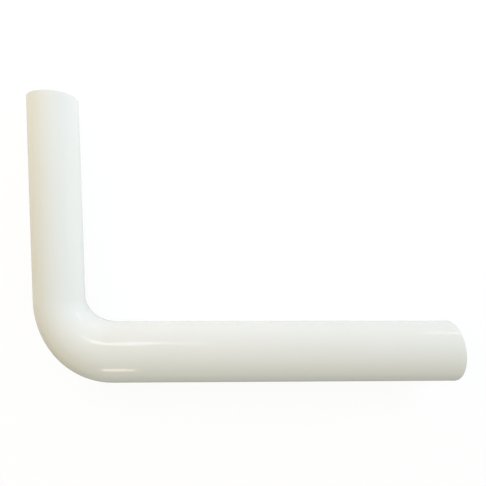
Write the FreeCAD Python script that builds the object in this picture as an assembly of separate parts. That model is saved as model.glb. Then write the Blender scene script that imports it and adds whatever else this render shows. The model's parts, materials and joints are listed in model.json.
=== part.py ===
"""Flush pipe: one moulded plastic bend that carries the flush from the cistern to the pan.

The short leg is the cistern end and the long leg the wider pan end. The pipe lies on its side, as it
comes to rest: the long leg along +X and on the floor, the short leg towards +Y with its end on the
floor too. The origin is the middle of the bounding box's underside, with +Z up. Millimetres, degrees.
"""
import FreeCAD, Part
import math
import os

# Driving dimensions
short_outside_dia = 32.0     # cistern leg
long_outside_dia = 40.0      # pan leg
wall = 1.8                   # the same all the way round and along
short_reach = 170.0          # from where the legs' axes cross to the cut end of the short leg
long_reach = 265.0           # the same for the long leg
leg_angle = 92.5             # between the two legs
bend_radius = 38.0           # of the bend's centreline
rim_round = 0.6              # outer edge of each end
mouth_chamfer = 0.4          # inner edge of each end
bend_stations = 13           # sections that the bend is lofted through
snap = 0.001                 # how near two points or radii count as one

# Worked out from them
short_radius = short_outside_dia / 2
long_radius = long_outside_dia / 2
half_angle = math.radians(leg_angle) / 2
turn = math.pi - 2 * half_angle
tangent_length = bend_radius / math.tan(half_angle)

X_AXIS = FreeCAD.Vector(1, 0, 0)
Z_AXIS = FreeCAD.Vector(0, 0, 1)
long_way = X_AXIS
short_way = FreeCAD.Vector(math.cos(2 * half_angle), math.sin(2 * half_angle), 0)
bend_centre = FreeCAD.Vector(tangent_length, bend_radius, 0)


def eased(share):
    """Share of the change of radius at a share of the bend: level at both ends."""
    return share * share * (3 - 2 * share)


def bend_section(share, inset):
    """Circle across the bend at a share of its turn, from the long leg to the short one."""
    spoke = FreeCAD.Vector(-math.sin(share * turn), -math.cos(share * turn), 0)
    along = Z_AXIS.cross(spoke)
    radius = long_radius + (short_radius - long_radius) * eased(share) - inset
    return Part.Wire(Part.makeCircle(radius, bend_centre + spoke * bend_radius, along))


def bend(inset):
    """Solid bend that narrows from the long leg to the short one, set in from the outside."""
    shares = [i / (bend_stations - 1) for i in range(bend_stations)]
    return Part.makeLoft([bend_section(share, inset) for share in shares], True)


def leg(way, reach, radius):
    """Straight round leg from its end of the bend to its reach."""
    return Part.makeCylinder(radius, reach - tangent_length, way * tangent_length, way)


def run(inset):
    """Whole pipe as a solid rod: both legs and the bend, set in from the outside."""
    legs = [
        leg(long_way, long_reach, long_radius - inset),
        leg(short_way, short_reach, short_radius - inset),
    ]
    return bend(inset).fuse(legs)


def rim_edges(pipe, way, reach, radius):
    """Round edges of one radius in the end face of a leg."""
    centre = way * reach
    return [
        edge
        for edge in pipe.Edges
        if isinstance(edge.Curve, Part.Circle)
        and math.isclose(edge.Curve.Radius, radius, abs_tol=snap)
        and edge.Curve.Center.isEqual(centre, snap)
    ]


def finish_ends(pipe):
    """Round the outer edge of both ends, and chamfer their mouths."""
    ends = [(long_way, long_reach, long_radius), (short_way, short_reach, short_radius)]
    outer = [edge for way, reach, radius in ends for edge in rim_edges(pipe, way, reach, radius)]
    pipe = pipe.makeFillet(rim_round, outer)
    inner = [edge for way, reach, radius in ends for edge in rim_edges(pipe, way, reach, radius - wall)]
    return pipe.makeChamfer(mouth_chamfer, inner)


def laid_down(pipe):
    """Roll the pipe about the long leg until the short leg's rim touches the floor as well."""
    rim_reach = short_reach - rim_round
    rim_radius = short_radius - rim_round
    slope = math.asin((long_radius - rim_round) / math.hypot(rim_reach, rim_radius))
    slope -= math.atan2(rim_radius, rim_reach)
    roll = math.asin(math.sin(slope) / short_way.y)
    laid = pipe.copy()
    laid.rotate(FreeCAD.Vector(), X_AXIS, -math.degrees(roll))
    box = laid.optimalBoundingBox(False, False)
    laid.translate(FreeCAD.Vector(-box.Center.x, -box.Center.y, -box.ZMin))
    return laid


flush_pipe = laid_down(finish_ends(run(0).cut(run(wall)).removeSplitter()))

os.makedirs("parts", exist_ok=True)
flush_pipe.exportStep("parts/flush_pipe.step")
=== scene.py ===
"""Looks of a white plastic flush pipe that lies on its side under soft studio light.

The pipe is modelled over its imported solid, in metres and in the same frame: the long pan leg along +X, the
short cistern leg towards +Y, and +Z up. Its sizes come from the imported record's mounts and the solid's box.
"""
import json
import logging
import math
from dataclasses import dataclass, field
from enum import Enum

import bmesh
import bpy
import numpy as np
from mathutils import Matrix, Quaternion, Vector
from mathutils.geometry import intersect_line_line


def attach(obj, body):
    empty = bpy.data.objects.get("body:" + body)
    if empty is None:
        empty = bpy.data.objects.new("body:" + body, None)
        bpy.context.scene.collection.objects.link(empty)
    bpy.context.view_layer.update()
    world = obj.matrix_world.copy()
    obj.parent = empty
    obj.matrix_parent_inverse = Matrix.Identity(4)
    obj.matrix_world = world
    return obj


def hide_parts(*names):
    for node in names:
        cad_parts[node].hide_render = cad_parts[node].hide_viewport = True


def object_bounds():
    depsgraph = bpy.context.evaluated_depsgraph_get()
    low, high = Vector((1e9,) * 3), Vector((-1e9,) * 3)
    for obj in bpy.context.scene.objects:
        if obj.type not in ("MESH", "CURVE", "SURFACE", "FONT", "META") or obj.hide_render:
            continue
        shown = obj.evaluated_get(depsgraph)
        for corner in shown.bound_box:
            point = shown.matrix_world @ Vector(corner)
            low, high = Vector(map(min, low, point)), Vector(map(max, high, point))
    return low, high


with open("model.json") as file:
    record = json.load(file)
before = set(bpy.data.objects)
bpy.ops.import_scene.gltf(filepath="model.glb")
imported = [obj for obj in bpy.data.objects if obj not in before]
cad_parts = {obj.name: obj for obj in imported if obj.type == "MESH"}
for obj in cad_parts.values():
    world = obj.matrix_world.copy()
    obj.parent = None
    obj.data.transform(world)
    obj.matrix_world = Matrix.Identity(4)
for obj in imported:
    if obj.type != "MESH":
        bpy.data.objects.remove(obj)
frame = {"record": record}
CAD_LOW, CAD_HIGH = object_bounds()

log = logging.getLogger("flush_pipe")

PIPE_NODE = "flush_pipe"
PIPE_BODY = "root"
RUN_ATTRIBUTE = "straight_run"
MILLIMETRE = 0.001
PHOTO_SIDE_PX = 486
WHITE = (1.0, 1.0, 1.0, 1.0)


class Mount(Enum):
    """Names of the record's mounts that give the pipe's sizes."""

    PAN_OUTSIDE = "pan_spigot"
    CISTERN_OUTSIDE = "cistern_spigot"
    PAN_BORE = "pan_mouth"

    def entry(self) -> dict:
        """Return this mount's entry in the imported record."""
        return next(m for m in frame["record"]["mounts"] if m["name"] == self.value)

    def radius(self) -> float:
        """Return the mount's radius in metres."""
        return self.entry()["dims"]["r_mm"] * MILLIMETRE

    def length(self) -> float:
        """Return the length of the mount's straight wall in metres."""
        return self.entry()["dims"]["length_mm"] * MILLIMETRE

    def point(self) -> Vector:
        """Return the mount's point on its axis."""
        return Vector(self.entry()["pos_m"])

    def way(self) -> Vector:
        """Return the mount's axis, pointing out of its end of the pipe."""
        return Vector(self.entry()["axis"]).normalized()


class Skin(Enum):
    """Material slots of the pipe's mesh."""

    MOULDED = 0
    SAWN = 1


def only_selected(piece: bpy.types.Object) -> None:
    """Make a piece the active object and the only one selected.

    Args:
        piece: The object that the next operators work on.
    """
    bpy.ops.object.select_all(action="DESELECT")
    piece.select_set(True)
    bpy.context.view_layer.objects.active = piece


@dataclass
class PipeRun:
    """Line and sizes of the pipe, worked out from its mounts.

    The run starts at the pan leg's cut end, goes round the bend and ends at the cistern leg's cut end.
    """

    rim_round: float = 0.6 * MILLIMETRE
    mouth_chamfer: float = 0.4 * MILLIMETRE
    long_radius: float = field(init=False)
    short_radius: float = field(init=False)
    wall: float = field(init=False)
    long_way: Vector = field(init=False)
    short_way: Vector = field(init=False)
    crossing: Vector = field(init=False)
    long_reach: float = field(init=False)
    short_reach: float = field(init=False)
    tangent: float = field(init=False)
    bend_radius: float = field(init=False)
    bend_axis: Vector = field(init=False)
    bend_centre: Vector = field(init=False)
    turn: float = field(init=False)

    def __post_init__(self) -> None:
        """Work the run out from the record and the solid's box."""
        pan, cistern = Mount.PAN_OUTSIDE, Mount.CISTERN_OUTSIDE
        self.long_radius = pan.radius()
        self.short_radius = cistern.radius()
        self.wall = self.long_radius - Mount.PAN_BORE.radius()
        self.long_way, self.short_way = pan.way(), cistern.way()
        on_long, on_short = intersect_line_line(
            pan.point(), pan.point() + self.long_way, cistern.point(), cistern.point() + self.short_way
        )
        self.crossing = (on_long + on_short) / 2
        self.long_reach = CAD_HIGH.x - self.crossing.x
        self.tangent = self.long_reach - self.rim_round - pan.length()
        self.short_reach = self.tangent + cistern.length() + self.rim_round
        leg_angle = self.long_way.angle(self.short_way)
        self.turn = math.pi - leg_angle
        self.bend_radius = self.tangent * math.tan(leg_angle / 2)
        self.bend_axis = self.long_way.cross(self.short_way).normalized()
        inward = self.bend_axis.cross(self.long_way)
        self.bend_centre = self.crossing + self.long_way * self.tangent + inward * self.bend_radius

    def bend_spoke(self, share: float) -> Vector:
        """Return the unit vector from the bend's centre to its centreline at a share of the turn."""
        inward = self.bend_axis.cross(self.long_way)
        angle = share * self.turn
        return -(inward * math.cos(angle) + self.long_way * math.sin(angle))

    def bend_point(self, share: float) -> Vector:
        """Return the centreline's point at a share of the turn, from the long leg to the short one."""
        return self.bend_centre + self.bend_spoke(share) * self.bend_radius

    def bend_outside(self, share: float) -> float:
        """Return the outside radius at a share of the turn, eased so that it is level with both legs."""
        eased = share * share * (3 - 2 * share)
        return self.long_radius + (self.short_radius - self.long_radius) * eased

    def straightened(self, points: np.ndarray) -> np.ndarray:
        """Give points on the pipe their places on the same pipe drawn out straight.

        Args:
            points: Places in the part's frame, one row each.

        Returns:
            One row each: two places across the pipe, and the distance along it from the pan end.
        """
        axis, long_way, short_way = (np.array(v) for v in (self.bend_axis, self.long_way, self.short_way))
        from_crossing = points - np.array(self.crossing)
        from_centre = points - np.array(self.bend_centre)
        inward = np.cross(axis, long_way)
        angle = np.arctan2(-from_centre @ long_way, -from_centre @ inward)
        turned = np.clip(angle, 0, self.turn)
        spokes = -(np.outer(np.cos(turned), inward) + np.outer(np.sin(turned), long_way))
        on_long = from_crossing @ long_way > self.tangent
        on_short = from_crossing @ short_way > self.tangent
        spokes[on_long] = -inward
        spokes[on_short] = np.cross(axis, short_way)
        middle = np.array(self.bend_centre) + spokes * self.bend_radius
        across = points - middle
        along = self.long_reach - self.tangent + turned * self.bend_radius
        along[on_long] = self.long_reach - from_crossing[on_long] @ long_way
        past = from_crossing[on_short] @ short_way - self.tangent
        along[on_short] = self.long_reach - self.tangent + self.turn * self.bend_radius + past
        return np.stack([(across * spokes).sum(axis=1), from_crossing @ axis, along], axis=1)


def add_node(tree: bpy.types.NodeTree, kind: str, **values: object) -> bpy.types.Node:
    """Add a node and set its inputs.

    Args:
        tree: The node tree that gets the node.
        kind: The node's type.
        values: Input values by name, with spaces written as underscores.

    Returns:
        The new node.
    """
    node = tree.nodes.new(kind)
    for name, value in values.items():
        node.inputs[name.replace("_", " ")].default_value = value
    return node


def join(
    tree: bpy.types.NodeTree, operation: str, first: bpy.types.NodeSocket, second: bpy.types.NodeSocket
) -> bpy.types.NodeSocket:
    """Join two values by a math node.

    Args:
        tree: The node tree that gets the node.
        operation: What the node does with the values.
        first: The first value.
        second: The second value.

    Returns:
        The socket with the result.
    """
    node = tree.nodes.new("ShaderNodeMath")
    node.operation = operation
    tree.links.new(first, node.inputs[0])
    tree.links.new(second, node.inputs[1])
    return node.outputs["Value"]


@dataclass(frozen=True)
class Grain:
    """One kind of unevenness in the plastic, as noise along the straightened pipe."""

    name: str
    scale: float
    stretch: float
    detail: float


@dataclass(frozen=True)
class PlasticUnevenness:
    """Shared node group: slow drift of tone, die lines along the pipe, fine scuffs and a slight ripple."""

    name: str = "plastic_unevenness"
    grains: tuple[Grain, ...] = (
        Grain("Drift", scale=24.0, stretch=0.4, detail=2.0),
        Grain("Die Lines", scale=700.0, stretch=0.004, detail=3.0),
        Grain("Scuffs", scale=420.0, stretch=0.3, detail=6.0),
        Grain("Ripple", scale=70.0, stretch=0.45, detail=1.0),
    )

    def group(self) -> bpy.types.NodeTree:
        """Build the group, or find it if it is there.

        Returns:
            The node group, with a Run input and an output for each grain.
        """
        found = bpy.data.node_groups.get(self.name)
        if found:
            return found
        tree = bpy.data.node_groups.new(self.name, "ShaderNodeTree")
        tree.interface.new_socket("Run", in_out="INPUT", socket_type="NodeSocketVector")
        for grain in self.grains:
            tree.interface.new_socket(grain.name, in_out="OUTPUT", socket_type="NodeSocketFloat")
        entry = tree.nodes.new("NodeGroupInput")
        leave = tree.nodes.new("NodeGroupOutput")
        for grain in self.grains:
            mapping = add_node(tree, "ShaderNodeMapping", Scale=(1.0, 1.0, grain.stretch))
            noise = add_node(tree, "ShaderNodeTexNoise", Scale=grain.scale, Detail=grain.detail)
            tree.links.new(entry.outputs["Run"], mapping.inputs["Vector"])
            tree.links.new(mapping.outputs["Vector"], noise.inputs["Vector"])
            tree.links.new(noise.outputs["Fac"], leave.inputs[grain.name])
        return tree

    def place(self, tree: bpy.types.NodeTree) -> bpy.types.Node:
        """Place the group in a material, fed with the straightened pipe.

        Args:
            tree: The material's node tree.

        Returns:
            The group node.
        """
        run = tree.nodes.new("ShaderNodeAttribute")
        run.attribute_name = RUN_ATTRIBUTE
        uneven = tree.nodes.new("ShaderNodeGroup")
        uneven.node_tree = self.group()
        tree.links.new(run.outputs["Vector"], uneven.inputs["Run"])
        return uneven


@dataclass(frozen=True)
class PlasticFinish:
    """White plastic whose tone, gloss and level vary slightly over the surface."""

    name: str
    pale: tuple[float, float, float]
    warm: tuple[float, float, float]
    smooth: float
    dull: float
    gloss_grain: str
    bump_grain: str
    bump_depth: float
    noise_range: tuple[float, float] = (0.3, 0.7)

    def material(self) -> bpy.types.Material:
        """Build the finish.

        Returns:
            The material, with its tone, roughness and bump from the shared unevenness.
        """
        finish = bpy.data.materials.new(self.name)
        finish.use_nodes = True
        tree = finish.node_tree
        shader = tree.nodes["Principled BSDF"]
        uneven = PlasticUnevenness().place(tree)
        tone = add_node(tree, "ShaderNodeMixRGB", Color1=(*self.pale, 1.0), Color2=(*self.warm, 1.0))
        tree.links.new(uneven.outputs["Drift"], tone.inputs["Fac"])
        tree.links.new(tone.outputs["Color"], shader.inputs["Base Color"])
        low, high = self.noise_range
        gloss = add_node(
            tree, "ShaderNodeMapRange", From_Min=low, From_Max=high, To_Min=self.smooth, To_Max=self.dull
        )
        tree.links.new(uneven.outputs[self.gloss_grain], gloss.inputs["Value"])
        tree.links.new(gloss.outputs["Result"], shader.inputs["Roughness"])
        bump = add_node(tree, "ShaderNodeBump", Strength=1.0, Distance=self.bump_depth)
        tree.links.new(uneven.outputs[self.bump_grain], bump.inputs["Height"])
        tree.links.new(bump.outputs["Normal"], shader.inputs["Normal"])
        return finish


MOULDED = PlasticFinish(
    name="moulded_white_plastic",
    pale=(0.868, 0.866, 0.808),
    warm=(0.852, 0.848, 0.782),
    smooth=0.05,
    dull=0.09,
    gloss_grain="Die Lines",
    bump_grain="Ripple",
    bump_depth=0.03 * MILLIMETRE,
)
SAWN = PlasticFinish(
    name="sawn_white_plastic",
    pale=(0.872, 0.870, 0.830),
    warm=(0.850, 0.846, 0.800),
    smooth=0.45,
    dull=0.62,
    gloss_grain="Scuffs",
    bump_grain="Scuffs",
    bump_depth=0.05 * MILLIMETRE,
)


@dataclass
class FlushPipe:
    """The pipe's wall: a ring drawn along the long leg, round the bend and along the short leg."""

    run: PipeRun
    name: str = "pipe_wall"
    sides: int = 128
    leg_step: float = 6.0 * MILLIMETRE
    bend_steps: int = 56
    round_segments: int = 4
    smooth_angle: float = math.radians(32)
    merge_distance: float = 0.001 * MILLIMETRE
    ring_slack: float = 0.01 * MILLIMETRE
    rim_slack: float = 0.02 * MILLIMETRE
    cut_depth: float = 0.1 * MILLIMETRE
    cut_facing: float = 0.99
    piece: bpy.types.Object = field(init=False)

    def build(self) -> None:
        """Model the pipe's wall from a ring, as one object at the origin."""
        run = self.run
        bpy.ops.object.select_all(action="DESELECT")
        bpy.ops.mesh.primitive_circle_add(
            vertices=self.sides,
            radius=run.long_radius,
            location=run.crossing + run.long_way * run.long_reach,
            rotation=run.long_way.to_track_quat("Z", "Y").to_euler(),
        )
        self.piece = bpy.context.active_object
        self.piece.name = self.piece.data.name = self.name
        bpy.ops.object.transform_apply(location=True, rotation=True, scale=True)
        bpy.ops.object.mode_set(mode="EDIT")
        bpy.ops.mesh.select_all(action="SELECT")
        self._draw_out(-run.long_way, run.long_reach - run.tangent)
        bpy.ops.mesh.spin(
            steps=self.bend_steps, angle=run.turn, center=run.bend_centre, axis=run.bend_axis
        )
        for step in range(1, self.bend_steps + 1):
            self._narrow_ring(step / self.bend_steps)
        self._draw_out(run.short_way, run.short_reach - run.tangent)
        bpy.ops.mesh.select_all(action="SELECT")
        bpy.ops.mesh.remove_doubles(threshold=self.merge_distance)
        bpy.ops.mesh.normals_make_consistent(inside=False)
        bpy.ops.object.mode_set(mode="OBJECT")
        self._thicken()
        self._finish_ends()
        bpy.ops.object.shade_smooth_by_angle(angle=self.smooth_angle)
        level = self.piece.modifiers.new("level_shading", "WEIGHTED_NORMAL")
        level.keep_sharp = True
        bpy.ops.object.modifier_apply(modifier=level.name)

    def _draw_out(self, way: Vector, length: float) -> None:
        """Extrude the selected ring along a leg, in even steps.

        Args:
            way: Unit vector along the leg.
            length: How far the ring goes.
        """
        steps = max(1, round(length / self.leg_step))
        for _ in range(steps):
            bpy.ops.mesh.extrude_edges_move(TRANSFORM_OT_translate={"value": way * (length / steps)})

    def _narrow_ring(self, share: float) -> None:
        """Scale the bend's ring at a share of the turn to the pipe's outside there.

        Args:
            share: Share of the turn, from the long leg to the short one.
        """
        run = self.run
        middle = run.bend_point(share)
        along = run.bend_axis.cross(run.bend_spoke(share))
        bpy.ops.mesh.select_all(action="DESELECT")
        shape = bmesh.from_edit_mesh(self.piece.data)
        for vertex in shape.verts:
            offset = vertex.co - middle
            if abs(offset.dot(along)) < self.ring_slack and offset.length < run.long_radius + run.wall:
                vertex.select_set(True)
        shape.select_flush(True)
        bmesh.update_edit_mesh(self.piece.data)
        ratio = run.bend_outside(share) / run.long_radius
        bpy.ops.transform.resize(value=(ratio, ratio, ratio), center_override=middle)

    def _thicken(self) -> None:
        """Give the skin its wall, inwards."""
        only_selected(self.piece)
        wall = self.piece.modifiers.new("wall", "SOLIDIFY")
        wall.thickness = self.run.wall
        wall.offset = -1.0
        wall.use_even_offset = True
        bpy.ops.object.modifier_apply(modifier=wall.name)

    def _finish_ends(self) -> None:
        """Round the outer edge of both ends and chamfer their mouths."""
        run = self.run
        self._bevel_rims(0.0, run.rim_round, self.round_segments)
        self._bevel_rims(run.wall, run.mouth_chamfer, 1)

    def _bevel_rims(self, inset: float, size: float, segments: int) -> None:
        """Bevel one edge of both cut ends.

        Args:
            inset: How far the edge lies in from the outside.
            size: Size of the bevel.
            segments: How many flats make it.
        """
        run = self.run
        bpy.ops.object.mode_set(mode="EDIT")
        bpy.ops.mesh.select_mode(type="EDGE")
        bpy.ops.mesh.select_all(action="DESELECT")
        shape = bmesh.from_edit_mesh(self.piece.data)
        ends = (
            (run.crossing + run.long_way * run.long_reach, run.long_way, run.long_radius - inset),
            (run.crossing + run.short_way * run.short_reach, run.short_way, run.short_radius - inset),
        )
        for middle, way, radius in ends:
            for edge in shape.edges:
                offsets = [vertex.co - middle for vertex in edge.verts]
                in_plane = all(abs(offset.dot(way)) < self.rim_slack for offset in offsets)
                on_rim = all(abs(offset.length - radius) < self.rim_slack for offset in offsets)
                if in_plane and on_rim:
                    edge.select_set(True)
        bmesh.update_edit_mesh(self.piece.data)
        bpy.ops.mesh.bevel(offset=size, segments=segments, affect="EDGES")
        bpy.ops.object.mode_set(mode="OBJECT")

    def dress(self) -> None:
        run, mesh = self.run, self.piece.data
        points = np.zeros(len(mesh.vertices) * 3)
        mesh.vertices.foreach_get("co", points)
        straight = mesh.attributes.new(RUN_ATTRIBUTE, "FLOAT_VECTOR", "POINT")
        straight.data.foreach_set("vector", run.straightened(points.reshape(-1, 3)).ravel())
        mesh.materials.clear()
        mesh.materials.append(MOULDED.material())
        mesh.materials.append(SAWN.material())
        ends = ((run.long_way, run.long_reach), (run.short_way, run.short_reach))
        for face in mesh.polygons:
            cut = any(
                face.normal.dot(way) > self.cut_facing
                and (face.center - run.crossing).dot(way) > reach - self.cut_depth
                for way, reach in ends
            )
            face.material_index = (Skin.SAWN if cut else Skin.MOULDED).value
        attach(self.piece, PIPE_BODY)
        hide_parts(PIPE_NODE)


def facing(azimuth_deg: float, elevation_deg: float) -> Vector:
    """Return the unit vector towards an azimuth, from +X to +Y, and an elevation above the floor."""
    azimuth, elevation = math.radians(azimuth_deg), math.radians(elevation_deg)
    level = math.cos(elevation)
    return Vector((math.cos(azimuth) * level, math.sin(azimuth) * level, math.sin(elevation)))


@dataclass(frozen=True)
class RoomGlow:
    """Broad soft light from one side of the room."""

    azimuth_deg: float
    elevation_deg: float
    narrowness: float
    light: tuple[float, float, float]

    def add(self, tree: bpy.types.NodeTree, sight: bpy.types.NodeSocket) -> bpy.types.NodeSocket:
        """Add the glow's nodes to the world.

        Args:
            tree: The world's node tree.
            sight: The direction that is looked in.

        Returns:
            The socket with the glow's light.
        """
        towards = tree.nodes.new("ShaderNodeVectorMath")
        towards.operation = "DOT_PRODUCT"
        towards.inputs[1].default_value = facing(self.azimuth_deg, self.elevation_deg)
        tree.links.new(sight, towards.inputs[0])
        fall = tree.nodes.new("ShaderNodeMath")
        fall.operation = "MULTIPLY_ADD"
        fall.inputs[1].default_value = self.narrowness
        fall.inputs[2].default_value = -self.narrowness
        tree.links.new(towards.outputs["Value"], fall.inputs[0])
        lobe = tree.nodes.new("ShaderNodeMath")
        lobe.operation = "EXPONENT"
        tree.links.new(fall.outputs["Value"], lobe.inputs[0])
        glow = tree.nodes.new("ShaderNodeVectorMath")
        glow.operation = "SCALE"
        glow.inputs[0].default_value = self.light
        tree.links.new(lobe.outputs["Value"], glow.inputs["Scale"])
        return glow.outputs["Vector"]


class LampRole(Enum):
    """What a soft lamp is there for."""

    LIGHT = "lights the pipe, and doesn't show in its gloss"
    GLINT = "shows in the gloss alone"
    BOTH = "lights the pipe and shows in its gloss"


@dataclass(frozen=True)
class SoftBox:
    """A soft lamp that faces a point on the pipe."""

    name: str
    azimuth_deg: float
    elevation_deg: float
    distance: float
    size: tuple[float, float]
    radiance: tuple[float, float, float]
    lights: tuple[float, float, float]
    roll_deg: float = 0.0
    role: LampRole = LampRole.BOTH

    def add(self) -> None:
        """Hang the lamp, out of the camera's sight, so that it faces the point that it lights."""
        light = bpy.data.lights.new(self.name, "AREA")
        light.shape = "RECTANGLE"
        light.size, light.size_y = self.size
        brightest = max(self.radiance)
        light.energy = brightest * math.pi * self.size[0] * self.size[1]
        light.color = [channel / brightest for channel in self.radiance]
        lamp = bpy.data.objects.new(self.name, light)
        bpy.context.scene.collection.objects.link(lamp)
        away = facing(self.azimuth_deg, self.elevation_deg)
        lamp.location = Vector(self.lights) + away * self.distance
        roll = Quaternion(away, math.radians(self.roll_deg))
        lamp.rotation_euler = (roll @ (-away).to_track_quat("-Z", "Y")).to_euler()
        lamp.visible_camera = False
        lamp.visible_glossy = self.role is not LampRole.LIGHT
        lamp.visible_diffuse = self.role is not LampRole.GLINT


@dataclass
class Studio:
    """Pale floor, soft light and the camera that looks down on the pipe."""

    floor_side: float = 8.0
    floor_roughness: float = 0.9
    # Painted shade that only the pipe sees: the floor is pale in the crook and darker in front of the long
    # leg.
    floor_in_crook: tuple[float, float, float] = (0.92, 0.92, 0.91)
    floor_painted_shade_in_front: tuple[float, float, float] = (0.45, 0.45, 0.44)
    painted_shade_fade_x: tuple[float, float] = (-0.135, -0.117)
    painted_shade_fade_y: tuple[float, float] = (-0.10, -0.07)
    painted_lightness_at_left: float = 0.5
    # Painted reflection: the share of white glow that the pipe sees in the floor's gloss, larger in the crook
    # than in front.
    painted_reflection_in_crook: float = 0.38
    painted_reflection_in_front: float = 0.10
    floor_glow: float = 0.90
    floor_sheen: float = 0.125
    room_in_gloss: float = 0.75
    glows: tuple[RoomGlow, ...] = (
        RoomGlow(azimuth_deg=35.0, elevation_deg=8.0, narrowness=4.0, light=(1.23, 1.31, 1.45)),
        RoomGlow(azimuth_deg=-35.0, elevation_deg=8.0, narrowness=4.0, light=(1.08, 1.19, 1.21)),
        RoomGlow(azimuth_deg=180.0, elevation_deg=6.0, narrowness=4.0, light=(0.98, 0.86, 0.55)),
        RoomGlow(azimuth_deg=0.0, elevation_deg=90.0, narrowness=1.0, light=(0.26, 0.26, 0.24)),
    )
    boxes: tuple[SoftBox, ...] = (
        SoftBox(
            name="near_lamp",
            azimuth_deg=145.0,
            elevation_deg=35.0,
            distance=0.6,
            size=(0.3, 0.3),
            radiance=(2.62, 2.16, 1.29),
            lights=(-0.03, 0.0, 0.02),
            role=LampRole.LIGHT,
        ),
        SoftBox(
            name="near_lamp_behind",
            azimuth_deg=110.0,
            elevation_deg=20.0,
            distance=0.6,
            size=(0.3, 0.3),
            radiance=(2.07, 2.30, 3.12),
            lights=(-0.03, 0.0, 0.02),
            role=LampRole.LIGHT,
        ),
        SoftBox(
            name="near_lamp_right",
            azimuth_deg=30.0,
            elevation_deg=30.0,
            distance=0.6,
            size=(0.3, 0.3),
            radiance=(1.84, 2.05, 2.55),
            lights=(-0.03, 0.0, 0.02),
            role=LampRole.LIGHT,
        ),
        SoftBox(
            name="back_box",
            azimuth_deg=108.9,
            elevation_deg=45.0,
            distance=2.0,
            size=(0.46, 0.27),
            radiance=(3.20, 3.15, 3.60),
            lights=(-0.078, -0.065, 0.037),
            roll_deg=48.0,
        ),
        SoftBox(
            name="back_wing",
            azimuth_deg=97.5,
            elevation_deg=47.5,
            distance=2.0,
            size=(0.20, 0.18),
            radiance=(2.30, 2.30, 2.50),
            lights=(-0.078, -0.065, 0.037),
        ),
        SoftBox(
            name="low_box",
            azimuth_deg=42.5,
            elevation_deg=5.0,
            distance=2.0,
            size=(0.40, 0.30),
            radiance=(2.90, 2.90, 2.90),
            lights=(-0.106, -0.045, 0.034),
            role=LampRole.GLINT,
        ),
        SoftBox(
            name="right_box",
            azimuth_deg=11.5,
            elevation_deg=11.0,
            distance=2.0,
            size=(0.50, 1.10),
            radiance=(0.45, 0.45, 0.45),
            lights=(-0.120, 0.0, 0.026),
            roll_deg=38.0,
            role=LampRole.GLINT,
        ),
        SoftBox(
            name="low_side_box",
            azimuth_deg=59.0,
            elevation_deg=5.0,
            distance=2.0,
            size=(0.32, 0.30),
            radiance=(1.80, 1.80, 1.80),
            lights=(0.110, -0.060, 0.034),
            role=LampRole.GLINT,
        ),
        SoftBox(
            name="front_box",
            azimuth_deg=-109.8,
            elevation_deg=31.8,
            distance=2.0,
            size=(0.29, 0.40),
            radiance=(4.8, 3.7, 2.7),
            lights=(-0.080, -0.081, 0.039),
            roll_deg=12.0,
        ),
    )
    camera_place: tuple[float, float, float] = (-0.00786, 0.00094, 0.28339)
    camera_tilt_deg: tuple[float, float, float] = (-0.653, -1.813, 0.332)
    focal_px: float = 388.72
    sensor: float = 36.0
    near_clip: float = 0.01

    def build(self) -> None:
        """Set the whole studio up round the pipe."""
        self._floor()
        self._world()
        self._camera()
        for box in self.boxes:
            box.add()
        bpy.context.scene.view_settings.view_transform = "Standard"

    def _floor(self) -> None:
        """Lay a pale floor that looks white and keeps a soft shadow; the pipe alone sees painted shade on it
        in front of the long leg.
        """
        bpy.ops.object.select_all(action="DESELECT")
        bpy.ops.mesh.primitive_plane_add(size=self.floor_side, location=(0.0, 0.0, CAD_LOW.z))
        floor = bpy.context.active_object
        floor.name = "floor"
        floor.data.materials.append(self._floor_finish())

    def _floor_finish(self) -> bpy.types.Material:
        """Build the floor's finish: white to the eye; to the pipe it is pale in the crook, with painted shade
        in front of the long leg and a painted reflection that is whiter in the crook.

        Returns:
            The floor's material.
        """
        finish = bpy.data.materials.new("pale_floor_with_painted_shade")
        finish.use_nodes = True
        tree = finish.node_tree
        shader = tree.nodes["Principled BSDF"]
        shader.inputs["Roughness"].default_value = self.floor_roughness
        # Painted shade: the floor's colour darkens in front of the long leg, for the pipe's bounce and gloss.
        painted_lightness = self._painted_lightness(tree)
        colours = {"Color1": (*self.floor_painted_shade_in_front, 1.0), "Color2": (*self.floor_in_crook, 1.0)}
        colour = add_node(tree, "ShaderNodeMixRGB", **colours)
        tree.links.new(painted_lightness, colour.inputs["Fac"])
        tree.links.new(colour.outputs["Color"], shader.inputs["Base Color"])
        # Painted reflection: the floor's gloss shows more white in the crook than in front of the long leg.
        painted_reflection_share = add_node(
            tree, "ShaderNodeMapRange", To_Min=self.painted_reflection_in_front, To_Max=self.painted_reflection_in_crook
        )
        tree.links.new(painted_lightness, painted_reflection_share.inputs["Value"])
        white = add_node(tree, "ShaderNodeEmission", Strength=self.floor_glow)
        shade = add_node(tree, "ShaderNodeBsdfDiffuse", Color=(*[self.floor_sheen] * 3, 1.0))
        seen = tree.nodes.new("ShaderNodeAddShader")
        tree.links.new(white.outputs["Emission"], seen.inputs[0])
        tree.links.new(shade.outputs["BSDF"], seen.inputs[1])
        mix = tree.nodes.new("ShaderNodeMixShader")
        rays = tree.nodes.new("ShaderNodeLightPath").outputs
        straight = join(tree, "MAXIMUM", rays["Is Camera Ray"], rays["Is Transmission Ray"])
        mirrored = join(tree, "MULTIPLY", rays["Is Glossy Ray"], painted_reflection_share.outputs["Result"])
        tree.links.new(join(tree, "MAXIMUM", straight, mirrored), mix.inputs["Fac"])
        tree.links.new(shader.outputs["BSDF"], mix.inputs[1])
        tree.links.new(seen.outputs["Shader"], mix.inputs[2])
        tree.links.new(mix.outputs["Shader"], tree.nodes["Material Output"].inputs["Surface"])
        return finish

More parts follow.
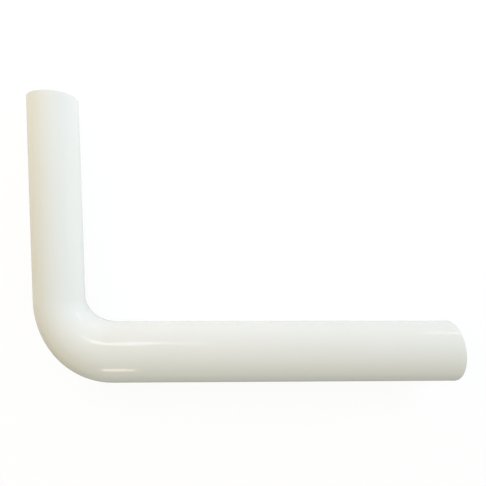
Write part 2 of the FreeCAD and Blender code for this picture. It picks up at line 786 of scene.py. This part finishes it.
    def _painted_lightness(self, tree: bpy.types.NodeTree) -> bpy.types.NodeSocket:
        """Work out the floor's painted lightness: how far a point lies in the pipe's crook, out of the
        painted shade in front of the long leg.

        Args:
            tree: The floor's node tree.

        Returns:
            The socket with the share, from 0 in the painted shade in front of the long leg to 1 in the crook,
            and at most a half towards the left of the short leg.
        """
        place = tree.nodes.new("ShaderNodeSeparateXYZ")
        tree.links.new(tree.nodes.new("ShaderNodeTexCoord").outputs["Object"], place.inputs["Vector"])
        changes = (("X", self.painted_shade_fade_x, self.painted_lightness_at_left), ("Y", self.painted_shade_fade_y, 0.0))
        within = []
        for axis, (outside, inside), least in changes:
            change = add_node(tree, "ShaderNodeMapRange", From_Min=outside, From_Max=inside, To_Min=least)
            tree.links.new(place.outputs[axis], change.inputs["Value"])
            within.append(change.outputs["Result"])
        return join(tree, "MINIMUM", *within)

    def _world(self) -> None:
        """Fill the room with soft light from its sides, white to the eye."""
        world = bpy.data.worlds.new("studio")
        bpy.context.scene.world = world
        world.use_nodes = True
        tree = world.node_tree
        sight = tree.nodes.new("ShaderNodeTexCoord").outputs["Generated"]
        total, *others = (glow.add(tree, sight) for glow in self.glows)
        for light in others:
            both = tree.nodes.new("ShaderNodeVectorMath")
            tree.links.new(total, both.inputs[0])
            tree.links.new(light, both.inputs[1])
            total = both.outputs["Vector"]
        rays = tree.nodes.new("ShaderNodeLightPath").outputs
        room = add_node(tree, "ShaderNodeMixRGB", Color2=(*[self.room_in_gloss] * 3, 1.0))
        tree.links.new(rays["Is Glossy Ray"], room.inputs["Fac"])
        tree.links.new(total, room.inputs["Color1"])
        white = add_node(tree, "ShaderNodeMixRGB", Color2=WHITE)
        straight = join(tree, "MAXIMUM", rays["Is Camera Ray"], rays["Is Transmission Ray"])
        tree.links.new(straight, white.inputs["Fac"])
        tree.links.new(room.outputs["Color"], white.inputs["Color1"])
        tree.links.new(white.outputs["Color"], tree.nodes["Background"].inputs["Color"])

    def _camera(self) -> None:
        """Set the camera above the pipe."""
        lens = bpy.data.cameras.new("camera")
        lens.sensor_width = self.sensor
        lens.lens = self.focal_px / PHOTO_SIDE_PX * self.sensor
        lens.clip_start = self.near_clip
        camera = bpy.data.objects.new("camera", lens)
        bpy.context.scene.collection.objects.link(camera)
        camera.location = self.camera_place
        camera.rotation_euler = [math.radians(angle) for angle in self.camera_tilt_deg]
        bpy.context.scene.camera = camera


def main() -> None:
    """Build the pipe and the studio, in order."""
    logging.basicConfig(level=logging.INFO)
    pipe = FlushPipe(PipeRun())
    pipe.build()
    pipe.dress()
    log.info("%s: %d faces", pipe.name, len(pipe.piece.data.polygons))
    Studio().build()


if __name__ == "__main__":
    main()
